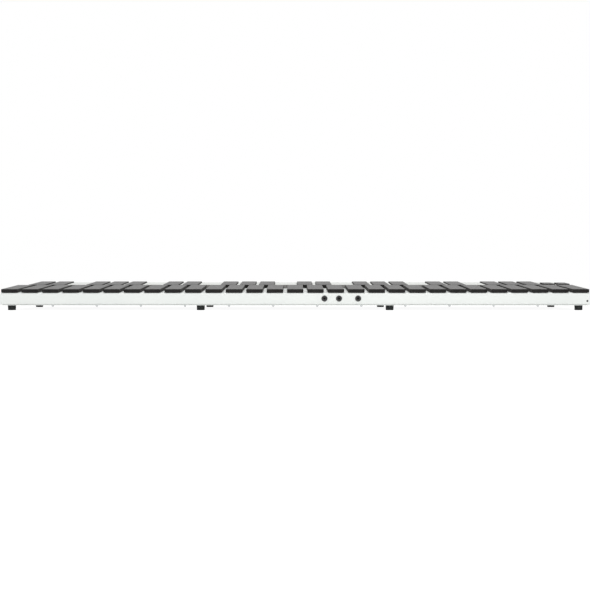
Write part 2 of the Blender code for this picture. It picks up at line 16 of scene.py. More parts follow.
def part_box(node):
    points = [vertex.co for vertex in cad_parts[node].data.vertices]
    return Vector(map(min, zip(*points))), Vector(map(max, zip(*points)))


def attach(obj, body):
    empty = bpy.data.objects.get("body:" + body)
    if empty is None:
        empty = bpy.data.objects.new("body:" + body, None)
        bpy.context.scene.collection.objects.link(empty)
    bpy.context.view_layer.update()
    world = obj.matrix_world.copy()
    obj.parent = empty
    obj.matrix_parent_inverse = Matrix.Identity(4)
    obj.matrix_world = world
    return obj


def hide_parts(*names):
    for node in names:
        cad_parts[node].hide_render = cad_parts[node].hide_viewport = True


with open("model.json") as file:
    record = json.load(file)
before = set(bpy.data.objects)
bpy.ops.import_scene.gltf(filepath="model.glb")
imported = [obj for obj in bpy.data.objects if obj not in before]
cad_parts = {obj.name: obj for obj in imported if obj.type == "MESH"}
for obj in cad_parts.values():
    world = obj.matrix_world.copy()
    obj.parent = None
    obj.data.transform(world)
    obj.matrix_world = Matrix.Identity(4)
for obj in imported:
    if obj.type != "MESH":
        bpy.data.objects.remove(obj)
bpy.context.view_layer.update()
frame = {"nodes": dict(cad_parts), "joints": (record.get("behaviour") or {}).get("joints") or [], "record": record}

nodes = frame["nodes"]

# %% [markdown]
# The case's top slopes up away from the player, and everything on it is square to that slope. The
# bars' line of travel tells us the slope. It is easier to model a bar on level ground and tip it
# afterwards, so we measure the nodes in a frame that is tipped with the top.

# %% Find the slope of the top
travel_axis = Vector(frame["joints"][0]["axis"])
SLOPE = math.atan2(-travel_axis.y, travel_axis.z)
TIPPED = Matrix.Rotation(SLOPE, 4, "X")
LEVELLED = TIPPED.inverted()


def level_box(node):
    """Lowest and highest corner of a CAD node, measured square to the sloping top."""
    points = [LEVELLED @ vertex.co for vertex in nodes[node].data.vertices]
    low = Vector([min(point[i] for point in points) for i in range(3)])
    high = Vector([max(point[i] for point in points) for i in range(3)])
    return low, high


case_low, case_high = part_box("chassis_shell")
FRONT_Y = case_low.y
BACK_Y = case_high.y
TOP_LEVEL = level_box("chassis_shell")[1].z
print("slope in degrees:", round(math.degrees(SLOPE), 2), "top level:", round(TOP_LEVEL, 4))


def top_z(y):
    """Height of the case's top sheet at a depth."""
    return (TOP_LEVEL + math.sin(SLOPE) * y) / math.cos(SLOPE)


# %% [markdown]
# The camera comes next, because the photograph decides how much of each piece shows. The picture
# was taken from the player's side with the lens just above the bars, which is why the instrument
# is a thin strip. A long lens 3 m away keeps the two rows nearly parallel.

# %% Place the camera
IMAGE_WIDTH = 590
IMAGE_HEIGHT = 591
SENSOR_WIDTH = 36.0
FOCAL_PIXELS = 1226.0
HORIZON_PIXEL = 278.0
CAMERA_DISTANCE = 3.0
CAMERA_HEIGHT = 0.079
CAMERA_X = -0.0005

camera_data = bpy.data.cameras.new("camera")
camera_data.sensor_fit = "HORIZONTAL"
camera_data.sensor_width = SENSOR_WIDTH
camera_data.lens = FOCAL_PIXELS / IMAGE_WIDTH * SENSOR_WIDTH
camera = bpy.data.objects.new("camera", camera_data)
bpy.context.scene.collection.objects.link(camera)
camera.location = (CAMERA_X, FRONT_Y - CAMERA_DISTANCE, CAMERA_HEIGHT)
pitch = math.atan((IMAGE_HEIGHT / 2 - HORIZON_PIXEL) / FOCAL_PIXELS)
camera.rotation_euler = (math.pi / 2 - pitch, 0.0, 0.0)
bpy.context.scene.camera = camera
print("lens in mm:", round(camera_data.lens, 1), "pitch in degrees:", round(math.degrees(pitch), 2))

# %% [markdown]
# Light and materials are trees of shader nodes. By hand one would add each node from a menu, set
# its fields and draw its links. Here one small helper does the three together, so that a tree
# reads like a list of what is in it. The first tree is the room's, and it starts empty.

# %% Helper to add a node, and the room's empty tree
def add_node(tree, kind, values=None, links=None, **settings):
    """Adds a shader node, with its settings, its fixed inputs and the sockets that feed it."""
    made = tree.nodes.new(kind)
    for name, value in settings.items():
        setattr(made, name, value)
    for socket, value in (values or {}).items():
        made.inputs[socket].default_value = value
    for socket, source in (links or {}).items():
        tree.links.new(source, made.inputs[socket])
    return made


world = bpy.data.worlds.new("white_room")
bpy.context.scene.world = world
world.use_nodes = True
world.node_tree.nodes.clear()
print("nodes in the room's tree:", len(world.node_tree.nodes))

# %% [markdown]
# The studio is a pale room. It looks pure white to the camera and in reflections but gives the
# object only part of that as light, so that white paint keeps its shape before a white ground. The
# Light Path node tells the two kinds of ray apart. The Standard view shows each colour as it is
# written, where other views would change it as film does.

# %% Light the room
ROOM_LIGHT = 0.45
bpy.context.scene.view_settings.view_transform = "Standard"


def seen_directly(tree):
    """1 for rays from the camera and for reflections, 0 for the rays that light the object."""
    path = add_node(tree, "ShaderNodeLightPath")
    glossy = add_node(
        tree,
        "ShaderNodeMath",
        links={0: path.outputs["Is Camera Ray"], 1: path.outputs["Is Glossy Ray"]},
        operation="MAXIMUM",
    )
    both = add_node(
        tree,
        "ShaderNodeMath",
        links={0: glossy.outputs[0], 1: path.outputs["Is Transmission Ray"]},
        operation="MAXIMUM",
    )
    return both.outputs[0]


room_level = add_node(
    world.node_tree,
    "ShaderNodeMapRange",
    values={"To Min": ROOM_LIGHT, "To Max": 1.0},
    links={"Value": seen_directly(world.node_tree)},
)
room = add_node(
    world.node_tree,
    "ShaderNodeBackground",
    values={"Color": (1.0, 1.0, 1.0, 1.0)},
    links={"Strength": room_level.outputs[0]},
)
add_node(world.node_tree, "ShaderNodeOutputWorld", links={"Surface": room.outputs[0]})
print("room:", world.name, "light on the object:", ROOM_LIGHT)

# %% [markdown]
# Two soft boxes do the rest: a wide one overhead and one low in front, beside the camera. Their
# level is plain, so that a white painted panel facing us comes out as the white that its paint is
# written as. They are broad, because a small lamp would draw hard shadows under the bars.

# %% Hang the soft boxes
LAMP_AIM = (0.0, 0.0, 0.05)
OVERHEAD_PLACE = (0.0, 0.15, 1.7)
OVERHEAD_SIZE = (3.4, 1.6)
OVERHEAD_WATTS = 26.0
FRONT_PLACE = (0.3, -2.7, 0.95)
FRONT_SIZE = (3.0, 1.2)
FRONT_WATTS = 28.0


def add_soft_box(name, place, size, watts):
    """A rectangular area lamp that faces the instrument."""
    data = bpy.data.lights.new(name, "AREA")
    data.shape = "RECTANGLE"
    data.size, data.size_y = size
    data.energy = watts
    lamp = bpy.data.objects.new(name, data)
    bpy.context.scene.collection.objects.link(lamp)
    lamp.location = place
    lamp.rotation_euler = (Vector(LAMP_AIM) - Vector(place)).to_track_quat("-Z", "Y").to_euler()


add_soft_box("overhead_soft_box", OVERHEAD_PLACE, OVERHEAD_SIZE, OVERHEAD_WATTS)
add_soft_box("front_soft_box", FRONT_PLACE, FRONT_SIZE, FRONT_WATTS)

# %% [markdown]
# Paint, rubber and plastic are written as sRGB hex values, as a paint shop would give them. The
# shader wants linear light, and one function makes the change. A new material starts from the
# Principled shader, which can stand for all of them.

# %% Colour and an empty material
def rgba(hex_colour):
    """Linear colour, with full alpha, of an sRGB hex value."""
    channels = [int(hex_colour[i : i + 2], 16) / 255 for i in (0, 2, 4)]
    return (*[c / 12.92 if c <= 0.04045 else ((c + 0.055) / 1.055) ** 2.4 for c in channels], 1.0)


def new_material(name):
    """An empty principled material: its tree, its shader and the object's coordinates."""
    material = bpy.data.materials.new(name)
    material.use_nodes = True
    tree = material.node_tree
    shader = tree.nodes["Principled BSDF"]
    place = add_node(tree, "ShaderNodeTexCoord")
    return material, tree, shader, place.outputs["Object"]


print("middle grey in linear light:", round(rgba("808080")[0], 3))

# %% [markdown]
# A real surface is never one flat colour. Noise on the object's own coordinates drives its tint,
# its roughness and its relief, and no picture is needed. Every pattern is scaled from a real size
# in millimetres: a noise texture of scale S repeats about every 1/S metres.

# %% Pattern helpers
MM = 0.001


def add_noise(tree, place, size_mm, detail=3.0):
    """Cloudy noise whose features are about size_mm across."""
    noise = add_node(
        tree,
        "ShaderNodeTexNoise",
        values={"Scale": 1.0 / (size_mm * MM), "Detail": detail},
        links={"Vector": place},
    )
    return noise.outputs["Fac"]


def add_tint(tree, factor, dark, light, low=0.3, high=0.7):
    """A ramp from one colour to another as a factor goes from low to high."""
    ramp = add_node(tree, "ShaderNodeValToRGB", links={"Fac": factor})
    ramp.color_ramp.elements[0].position = low
    ramp.color_ramp.elements[0].color = rgba(dark)
    ramp.color_ramp.elements[1].position = high
    ramp.color_ramp.elements[1].color = rgba(light)
    return ramp.outputs["Color"]


def add_range(tree, factor, low, high):
    """A factor of 0 to 1 spread over a range."""
    spread = add_node(
        tree,
        "ShaderNodeMapRange",
        values={"To Min": low, "To Max": high},
        links={"Value": factor},
    )
    return spread.outputs[0]


def add_relief(tree, height, depth_mm, strength):
    """A bump whose full height is depth_mm, softened by a strength of 0 to 1."""
    bump = add_node(
        tree,
        "ShaderNodeBump",
        values={"Distance": depth_mm * MM, "Strength": strength},
        links={"Height": height},
    )
    return bump.outputs["Normal"]


def dress(tree, shader, **sources):
    """Feeds sockets of the shader, named with _ for a space, from other nodes."""
    for name, source in sources.items():
        tree.links.new(source, shader.inputs[name.replace("_", " ")])


print("a pattern 5 mm across has a noise scale of", round(1.0 / (5.0 * MM)))

# %% [markdown]
# The case is folded steel sheet with a polyester powder coat. Powder melts and flows as it is
# baked, which leaves an even satin with a faint orange peel, a few millimetres from crest to
# crest. That peel is what breaks up the reflection of the soft boxes.

# %% Material: powder-coated steel
PEEL_MM = 2.2
POWDER_GRAIN_MM = 0.35
GRAIN_SHARE = 0.25
PAINT_CLOUD_MM = 180.0


def powder_coat(name, dark, light):
    """A satin paint: orange peel with a finer grain on it, and a colour that drifts slowly."""
    material, tree, shader, place = new_material(name)
    shader.inputs["IOR"].default_value = 1.5
    shader.inputs["Metallic"].default_value = 0.0
    peel = add_noise(tree, place, PEEL_MM, 2.0)
    grain = add_noise(tree, place, POWDER_GRAIN_MM, 2.0)
    height = add_node(
        tree,
        "ShaderNodeMath",
        values={1: GRAIN_SHARE},
        links={0: grain, 2: peel},
        operation="MULTIPLY_ADD",
    )
    cloud = add_noise(tree, place, PAINT_CLOUD_MM, 2.0)
    dress(
        tree,
        shader,
        Base_Color=add_tint(tree, cloud, dark, light),
        Roughness=add_range(tree, grain, 0.38, 0.50),
        Normal=add_relief(tree, height.outputs[0], 0.03, 0.6),
    )
    return material


case_paint = powder_coat("powder_coated_steel_white", "EEF2EF", "F3F6F3")
# The plate's copy of the white is a little darker: painted shade for the underside of the case.
plate_paint_shaded = powder_coat("powder_coated_steel_painted_shade", "E6EAE7", "ECEFEC")
print("made", case_paint.name, plate_paint_shaded.name)

# %% [markdown]
# Moulded plastic takes the grain of its steel mould. The deck between the sharps is ABS from a
# spark-eroded mould, matt so that it doesn't glare under stage lights, and its white is a little
# greyer than the paint. The lips along its front are painted mid grey, a painted shade for the back
# of the narrow gaps between the naturals. The sockets are black nylon, which flows better and comes
# out shinier, the chip is filled epoxy, dull and a little brown, and the lamp's lens is smoked
# acrylic with a polished face. One function makes them all, from two colours, a range of roughness
# and the depth of the grain. The real grain is about a tenth of a millimetre and couldn't show in
# any view, so it is drawn half a millimetre across.

# %% Material: moulded plastics
MOULD_GRAIN_MM = 0.5
PLASTIC_CLOUD_MM = 60.0


def moulded_plastic(name, colours, rough, relief_mm, gloss=0.5):
    """A plastic between two colours and two roughnesses, with the grain of its mould."""
    material, tree, shader, place = new_material(name)
    shader.inputs["IOR"].default_value = 1.53
    shader.inputs["Specular IOR Level"].default_value = gloss
    grain = add_noise(tree, place, MOULD_GRAIN_MM, 4.0)
    cloud = add_noise(tree, place, PLASTIC_CLOUD_MM, 2.0)
    dress(
        tree,
        shader,
        Base_Color=add_tint(tree, cloud, *colours),
        Roughness=add_range(tree, grain, *rough),
        Normal=add_relief(tree, grain, relief_mm, 0.5),
    )
    return material


deck_plastic = moulded_plastic(
    "moulded_abs_white", ("D9DBD8", "DFE1DE"), rough=(0.75, 0.88), relief_mm=0.03, gloss=0.2
)
# The lips' mid grey is painted shade, for the back of the narrow gaps between the naturals.
lip_painted_shade = moulded_plastic(
    "abs_grey_painted_shade", ("8A8886", "949290"), rough=(0.5, 0.6), relief_mm=0.03
)
socket_plastic = moulded_plastic(
    "moulded_nylon_black", ("161718", "1E1F20"), rough=(0.30, 0.45), relief_mm=0.02
)
chip_plastic = moulded_plastic(
    "epoxy_chip_black", ("1B1C1D", "242526"), rough=(0.45, 0.6), relief_mm=0.02
)
lamp_acrylic = moulded_plastic(
    "smoked_acrylic", ("1C1718", "2A2122"), rough=(0.06, 0.14), relief_mm=0.005
)
print("made", deck_plastic.name, lip_painted_shade.name, socket_plastic.name)
print("made", chip_plastic.name, lamp_acrylic.name)

# %% [markdown]
# The bars are moulded silicone rubber over a stiff core. Charcoal silicone is nearly black face
# on, and its skin has a fine matt grain from the mould. Seen along the surface it turns grey,
# because any smooth surface mirrors the room at a grazing angle. Mallets and hands have smoothed
# the top, while the sides keep the mould's grain and stay dark even at a glance along them. So the
# way a point faces, up or sideways, has to choose between two ranges of roughness. The object's
# own normal says it, and unlike a second material it needs no picking of faces.

# %% Helper to tell tops from sides
def facing_up(tree):
    """1 where a surface faces straight up or down, 0 where it faces sideways."""
    normal = add_node(tree, "ShaderNodeTexCoord").outputs["Normal"]
    parts = add_node(tree, "ShaderNodeSeparateXYZ", links={0: normal})
    upright = add_node(
        tree, "ShaderNodeMath", links={0: parts.outputs["Z"]}, operation="ABSOLUTE"
    )
    return upright.outputs[0]


print("a top slopes by", round(math.degrees(SLOPE), 1), "degrees and still counts as facing up")

# %% [markdown]
# The rubber's colour and the wear on its top are two clouds of noise, one of them drawn out along
# the bar, because mallets and hands rub that way. The grain is drawn several times too coarse, at
# nearly a millimetre, to show from near. The feet are black rubber from the same kind of mould, a
# little paler and cooler.

# %% Material: moulded rubber
BAR_GRAIN_MM = 0.9
RUBBER_CLOUD_MM = 14.0
STROKE_MM = 5.0
STROKE_STRETCH = (1.0, 0.25, 1.0)
TOP_ROUGHNESS = (0.30, 0.42)
SIDE_ROUGHNESS = 0.85


def moulded_rubber(name, dark, light):
    """Dark rubber: smoothed in strokes along its top, grainy at its sides."""
    material, tree, shader, place = new_material(name)
    shader.inputs["IOR"].default_value = 1.45
    shader.inputs["Specular IOR Level"].default_value = 0.22
    shader.inputs["Sheen Weight"].default_value = 0.06
    shader.inputs["Sheen Roughness"].default_value = 0.35
    shader.inputs["Sheen Tint"].default_value = rgba("D8D2D0")
    grain = add_noise(tree, place, BAR_GRAIN_MM, 5.0)
    cloud = add_noise(tree, place, RUBBER_CLOUD_MM, 4.0)
    strokes = add_node(
        tree, "ShaderNodeMapping", values={"Scale": STROKE_STRETCH}, links={"Vector": place}
    )
    worn = add_noise(tree, strokes.outputs[0], STROKE_MM, 3.0)
    mixed = add_node(
        tree,
        "ShaderNodeMath",
        values={1: 0.5},
        links={0: worn, 2: cloud},
        operation="MULTIPLY_ADD",
    )
    smoothed = add_range(tree, mixed.outputs[0], *TOP_ROUGHNESS)
    roughness = add_node(
        tree,
        "ShaderNodeMapRange",
        values={"To Min": SIDE_ROUGHNESS},
        links={"Value": facing_up(tree), "To Max": smoothed},
    )
    dress(
        tree,
        shader,
        Base_Color=add_tint(tree, mixed.outputs[0], dark, light, 0.55, 0.95),
        Roughness=roughness.outputs[0],
        Normal=add_relief(tree, grain, 0.05, 0.5),
    )
    return material


bar_rubber = moulded_rubber("moulded_silicone_charcoal", "1D1C1C", "282726")
foot_rubber = moulded_rubber("moulded_rubber_black", "292B2B", "333535")
print("made", bar_rubber.name, foot_rubber.name)

# %% [markdown]
# Inside the case there are parts that only a repairer sees. The dome mats are moulded in milky
# silicone, which lets a little light into its skin before it sends it back. Subsurface gives the
# eye that softness, with a radius of about 2 mm.

# %% Material: milky silicone
MAT_CLOUD_MM = 8.0
MAT_GRAIN_MM = 0.6


def translucent_silicone(name):
    """A milky rubber that lets a little light into its skin."""
    material, tree, shader, place = new_material(name)
    shader.inputs["IOR"].default_value = 1.41
    shader.inputs["Subsurface Weight"].default_value = 0.2
    shader.inputs["Subsurface Radius"].default_value = (0.002, 0.002, 0.002)
    cloud = add_noise(tree, place, MAT_CLOUD_MM, 3.0)
    dress(
        tree,
        shader,
        Base_Color=add_tint(tree, cloud, "84888B", "989C9E"),
        Roughness=add_range(tree, cloud, 0.45, 0.6),
        Normal=add_relief(tree, add_noise(tree, place, MAT_GRAIN_MM), 0.03, 0.4),
    )
    return material


dome_silicone = translucent_silicone("moulded_silicone_milky")
print("made", dome_silicone.name)

# %% [markdown]
# A circuit board is glass fibre and copper under a green varnish, the solder mask. The varnish is
# glossy, and darker over the bare fibre than over copper, which shows as a maze of tracks. A
# Voronoi texture measured in city blocks gives such right-angled tracks without an image.

# %% Material: solder mask
TRACK_MM = 6.0
TRACK_BANDS = 9.0


def solder_mask(name):
    """A green varnish over right-angled copper tracks."""
    material, tree, shader, place = new_material(name)
    shader.inputs["IOR"].default_value = 1.5
    tracks = add_node(
        tree,
        "ShaderNodeTexVoronoi",
        values={"Scale": 1.0 / (TRACK_MM * MM), "Randomness": 0.6},
        links={"Vector": place},
        distance="MANHATTAN",
        feature="F1",
    )
    bands = add_node(
        tree,
        "ShaderNodeMath",
        values={1: TRACK_BANDS},
        links={0: tracks.outputs["Distance"]},
        operation="MULTIPLY",
    )
    wave = add_node(
        tree,
        "ShaderNodeMath",
        values={1: 1.0},
        links={0: bands.outputs[0]},
        operation="PINGPONG",
    )
    dress(
        tree,
        shader,
        Base_Color=add_tint(tree, wave.outputs[0], "143A26", "2A6A45", 0.45, 0.55),
        Roughness=add_range(tree, add_noise(tree, place, 3.0), 0.25, 0.4),
        Normal=add_relief(tree, wave.outputs[0], 0.03, 0.5),
    )
    return material


board_mask = solder_mask("solder_mask_green")
print("made", board_mask.name)

# %% [markdown]
# Metal shows only in small pieces: zinc-plated screws, nickel-plated posts, leads and shields, and
# gold-plated springs, contacts and pins. A plating has an even colour, so it is mainly the
# roughness that varies, in the fine scratches of parts that were tumbled in a drum.

# %% Material: plated metal
SCRATCH_MM = 0.4
SCRATCH_STRETCH = (1.0, 6.0, 1.0)


def plated_metal(name, dark, light):
    """A metal plating with fine scratches across it."""
    material, tree, shader, place = new_material(name)
    shader.inputs["Metallic"].default_value = 1.0
    scratches = add_node(
        tree, "ShaderNodeMapping", values={"Scale": SCRATCH_STRETCH}, links={"Vector": place}
    )
    tumbled = add_noise(tree, scratches.outputs[0], SCRATCH_MM, 4.0)
    dress(
        tree,
        shader,
        Base_Color=add_tint(tree, add_noise(tree, place, 1.5), dark, light),
        Roughness=add_range(tree, tumbled, 0.28, 0.5),
        Normal=add_relief(tree, tumbled, 0.01, 0.4),
    )
    return material


screw_steel = plated_metal("zinc_plated_steel", "BCBEC0", "D2D4D5")
shield_steel = plated_metal("nickel_plated_steel", "A9A9A6", "C2C1BC")
contact_gold = plated_metal("gold_plated_brass", "C9A250", "DDBB6A")
print("made", screw_steel.name, shield_steel.name, contact_gold.name)

# %% [markdown]
# New pieces are modelled as by hand: a primitive, edit mode, then bevels. Everything is deselected
# first, because an operator acts on all that is selected. A box is given by two of its corners,
# since those are what the frame tells us, and its scale is applied at once, so that a bevel is
# equally wide on all sides.

# %% Helpers to start and end a piece
def deselect_all():
    """Leaves edit mode and selects nothing."""
    if bpy.context.object and bpy.context.object.mode != "OBJECT":
        bpy.ops.object.mode_set(mode="OBJECT")
    bpy.ops.object.select_all(action="DESELECT")


def start_box(name, low, high):
    """A box between two corners, in edit mode."""
    deselect_all()
    middle = (Vector(low) + Vector(high)) / 2
    bpy.ops.mesh.primitive_cube_add(size=1.0, location=middle, scale=Vector(high) - Vector(low))
    bpy.ops.object.transform_apply(location=True, rotation=True, scale=True)
    bpy.context.object.name = name
    bpy.ops.object.mode_set(mode="EDIT")
    return bpy.context.object


def end_editing():
    """Back to object mode, which writes the edited shape into the mesh."""
    bpy.ops.object.mode_set(mode="OBJECT")


deselect_all()
print("pieces selected:", len(bpy.context.selected_objects))

# %% [markdown]
# By hand one would click on the edges to bevel. Here they are picked by where they lie or which
# way they run, so the picking is one helper that takes a test, and the tests are small functions.

# %% Helpers to pick and round edges
NEAR = 1e-5


def pick(kind, test):
    """Selects the vertices, edges or faces of the piece in edit mode that pass a test."""
    bpy.ops.mesh.select_mode(type={"verts": "VERT", "edges": "EDGE", "faces": "FACE"}[kind])
    bpy.ops.mesh.select_all(action="DESELECT")
    mesh = bmesh.from_edit_mesh(bpy.context.object.data)
    chosen = [part for part in getattr(mesh, kind) if test(part)]
    for part in chosen:
        part.select_set(True)
    mesh.select_flush_mode()
    bmesh.update_edit_mesh(bpy.context.object.data)


def runs_along(axis):
    """A test for edges that run along one axis, 0 for X, 1 for Y and 2 for Z."""

    def test(edge):
        step = (edge.verts[1].co - edge.verts[0].co).normalized()
        return abs(step[axis]) > 0.99

    return test


def all_at(axis, value):
    """A test for edges or faces whose corners all lie at one value of an axis."""
    return lambda part: all(abs(vertex.co[axis] - value) < NEAR for vertex in part.verts)


def round_edges(radius, segments):
    """A round bevel on what is picked."""
    bpy.ops.mesh.bevel(offset=radius, segments=segments, affect="EDGES", clamp_overlap=True)


print("corners nearer than", NEAR / MM, "mm count as being in one place")

# %% [markdown]
# A modifier is applied as soon as it is set, so that each finished piece is plain mesh. Smooth
# shading alone would bend the light across a flat face next to a bevel, so Weighted Normal gives
# the big faces their say. Holes are cut with Boolean, and the cutter is thrown away.

# %% Helpers to smooth and cut a piece
SOFT_BEND = 30.0


def make_active(piece):
    """Selects one piece and nothing else."""
    deselect_all()
    piece.select_set(True)
    bpy.context.view_layer.objects.active = piece


def apply_modifier(piece, kind, **settings):
    """Adds one modifier with its settings and applies it."""
    modifier = piece.modifiers.new(kind.lower(), kind)
    for name, value in settings.items():
        setattr(modifier, name, value)
    make_active(piece)
    bpy.ops.object.modifier_apply(modifier=modifier.name)


def smooth(piece, degrees=SOFT_BEND):
    """Smooth shading over soft bends, with the large flat faces kept flat."""
    make_active(piece)
    bpy.ops.object.shade_smooth_by_angle(angle=math.radians(degrees))
    apply_modifier(piece, "WEIGHTED_NORMAL", keep_sharp=True)


def cut_out(piece, cutter):
    """Takes a cutter's shape out of a piece, and deletes the cutter."""
    apply_modifier(piece, "BOOLEAN", operation="DIFFERENCE", solver="EXACT", object=cutter)
    bpy.data.objects.remove(cutter, do_unlink=True)


print("edges sharper than", SOFT_BEND, "degrees stay crisp")

# %% [markdown]
# What repeats is modelled once and copied. Each copy gets its own mesh, and it is the mesh that
# moves: the object stays at the origin, so that a pattern on object coordinates lies still. The
# last helper gives a piece its finish, makes it move with its body and hides the plain parts it replaces.

# %% Helpers to join, copy and hand over
def join(name, pieces):
    """One object from several."""
    deselect_all()
    for piece in pieces:
        piece.select_set(True)
    bpy.context.view_layer.objects.active = pieces[0]
    bpy.ops.object.join()
    bpy.context.object.name = name
    return bpy.context.object


def copy_at(piece, name, matrix):
    """A copy with its own mesh, put in place by moving the mesh."""
    copied = piece.copy()
    copied.data = piece.data.copy()
    copied.name = name
    copied.data.name = name
    bpy.context.scene.collection.objects.link(copied)
    copied.data.transform(matrix)
    return copied


def hand_over(piece, body, material, replaced=()):
    """Gives a finished piece its finish and makes it move with a body of the frame."""
    piece.data.materials.clear()
    piece.data.materials.append(material)
    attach(piece, body)
    if replaced:
        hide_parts(*replaced)


# %% [markdown]
# A bar is a flat block with round corners and a soft striking edge. It could be sculpted, but two
# bevels say exactly what the mould does: one for the upright corners and one for the rim. The
# shallow hollow under it leaves room for the domes when the bar is struck, and nobody sees it
# until a bar is lifted off. One bar is modelled for each row and copied, since all bars of a row
# come from one mould.

# %% Model a bar
BAR_CORNER = 1.5 * MM
BAR_RIM = 1.2 * MM
HOLLOW_WALL = 3.0 * MM
HOLLOW_DEPTH = 0.6 * MM


def model_bar(name, size):
    """A bar standing on z = 0, with its middle over the origin."""
    bar = start_box(name, (-size.x / 2, -size.y / 2, 0.0), (size.x / 2, size.y / 2, size.z))
    pick("edges", runs_along(2))
    round_edges(BAR_CORNER, 6)
    pick("edges", all_at(2, size.z))
    round_edges(BAR_RIM, 4)
    pick("faces", all_at(2, 0.0))
    bpy.ops.mesh.inset(thickness=HOLLOW_WALL)
    bpy.ops.mesh.extrude_region_move(TRANSFORM_OT_translate={"value": (0.0, 0.0, HOLLOW_DEPTH)})
    end_editing()
    smooth(bar)
    return bar


def place_bars(pattern):
    """Copies one moulding to each node whose name fits the pattern."""
    names = sorted(name for name in nodes if re.fullmatch(pattern, name))
    low, high = level_box(names[0])
    mould = model_bar("mould", high - low)
    for name in names:
        low, high = level_box(name)
        seat = Vector(((low.x + high.x) / 2, (low.y + high.y) / 2, low.z))
        bar = copy_at(mould, name + "_rubber", TIPPED @ Matrix.Translation(seat))
        hand_over(bar, name, bar_rubber, [name])
    bpy.data.objects.remove(mould, do_unlink=True)
    size_mm = [round(side / MM, 1) for side in high - low]
    print(len(names), "pieces like", names[0], "of", size_mm, "mm")


place_bars(r"bar_[a-g]\d")
place_bars(r"bar_[a-g]\d_sharp")
place_bars(r"function_pad_\d")

# %% [markdown]
# The case is one folded sheet. A press brake bends it over a tool, so its long edges are round
# and its ends are flat plates with a small weld radius. It could be folded up from a flat outline,
# but it is simpler to start from a box, pull its top to the slope, round the folds, open the
# bottom inside the flange and give the skin its thickness with Solidify.

# %% Model the case
SHEET = 1.5 * MM
FOLD_RADIUS = 3.5 * MM
WELD_RADIUS = 0.8 * MM
FLANGE = 13.0 * MM
UNDERSIDE_AREA = 0.1  # square metres: less than the underside has, more than any other level face


def model_case():
    """The folded sheet, still without holes."""
    case = start_box("case_sheet", case_low, case_high)
    for y in (FRONT_Y, BACK_Y):
        pick("verts", lambda v: v.co.z > case_high.z - NEAR and abs(v.co.y - y) < NEAR)
        bpy.ops.transform.translate(value=(0.0, 0.0, top_z(y) - case_high.z))
    pick("edges", runs_along(0))
    round_edges(FOLD_RADIUS, 10)
    ends = (all_at(0, case_low.x), all_at(0, case_high.x))
    pick("edges", lambda edge: any(test(edge) for test in ends))
    round_edges(WELD_RADIUS, 3)
    pick("faces", lambda f: f.normal.z < -0.99 and f.calc_area() > UNDERSIDE_AREA)
    bpy.ops.mesh.inset(thickness=FLANGE - FOLD_RADIUS)
    bpy.ops.mesh.delete(type="FACE")
    end_editing()
    apply_modifier(case, "SOLIDIFY", thickness=SHEET, offset=-1.0)
    return case


case_sheet = model_case()
print("case has", len(case_sheet.data.polygons), "faces before it is cut")

# %% [markdown]
# Rubber domes carry the bars and press on sensors below the sheet, so each bar has a slot that its
# domes come up through. In the factory a laser cuts the slots before the sheet is folded. Here they
# are cut afterwards, because the folds are easier to round on a whole box. The cutters are made
# square to the top, joined and tipped, so that one Boolean does for all of them.

# %% Cut the slots for the domes
SLOT_WIDTH = 14.0 * MM
SLOT_CORNER = 2.0 * MM
DOME_SHARE = 0.25
SLOT_OVERRUN = 8.0 * MM
PAD_DOME_REACH = 26.0 * MM
CUT = 4.0 * MM


def slot_boxes():
    """Low and high corners of each dome slot, square to the top."""
    for name in nodes:
        if not name.startswith(("bar_", "function_pad_")):
            continue
        low, high = level_box(name)
        middle = (low + high) / 2
        reach = (high.y - low.y) * (0.5 - DOME_SHARE) + SLOT_OVERRUN
        if name.startswith("function_pad_"):
            reach = PAD_DOME_REACH
        near = (middle.x - SLOT_WIDTH / 2, middle.y - reach, TOP_LEVEL - CUT)
        yield near, (middle.x + SLOT_WIDTH / 2, middle.y + reach, TOP_LEVEL + CUT)


def model_slots():
    """One cutter for all the slots."""
    cutters = []
    for low, high in slot_boxes():
        cutter = start_box("slot_cutter", low, high)
        pick("edges", runs_along(2))
        round_edges(SLOT_CORNER, 3)
        end_editing()
        cutters.append(cutter)
    cutter = join("slots", cutters)
    cutter.data.transform(TIPPED)
    return cutter


cut_out(case_sheet, model_slots())
print("case has", len(case_sheet.data.polygons), "faces with its slots")

# %% [markdown]
# Drills, screws, feet, posts and sockets are all turned shapes. A lathe's work could be a curve
# spun round an axis. Here a disc is pulled along the axis and resized at each step, which leaves
# closed ends and no seam. The profile lists each step's radius and its way along the axis.

# %% Helpers to turn and drill
UP = Vector((0.0, 0.0, 1.0))
BACKWARDS = Vector((0.0, 1.0, 0.0))
FORWARDS = -BACKWARDS


def in_mm(profile):
    """A profile given in millimetres, in metres."""
    return [(radius * MM, way * MM) for radius, way in profile]


def turn(name, centre, axis, profile, corners=48):
    """A turned solid that follows a profile of (radius, way along the axis)."""
    centre = Vector(centre)
    radius, way = profile[0]
    deselect_all()
    bpy.ops.mesh.primitive_circle_add(
        vertices=corners,
        radius=radius,
        fill_type="NGON",
        location=centre + axis * way,
        rotation=axis.to_track_quat("Z", "Y").to_euler(),
    )
    bpy.ops.object.transform_apply(location=True, rotation=True, scale=True)
    bpy.context.object.name = name
    bpy.ops.object.mode_set(mode="EDIT")
    bpy.ops.mesh.select_all(action="SELECT")
    for (radius, way), (next_radius, next_way) in zip(profile, profile[1:]):
        step = axis * (next_way - way)
        bpy.ops.mesh.extrude_region_move(TRANSFORM_OT_translate={"value": step})
        size = next_radius / radius
        middle = centre + axis * next_way
        bpy.ops.transform.resize(value=(size, size, size), center_override=middle)
    bpy.ops.mesh.select_all(action="SELECT")
    bpy.ops.mesh.normals_make_consistent(inside=False)
    end_editing()
    return bpy.context.object


def drill(piece, centre, radius):
    """A round hole along Y through a panel."""
    cut_out(piece, turn("drill", centre, BACKWARDS, [(radius, -CUT), (radius, CUT)]))


print("a drill goes", CUT / MM, "mm past each side of a panel's face")

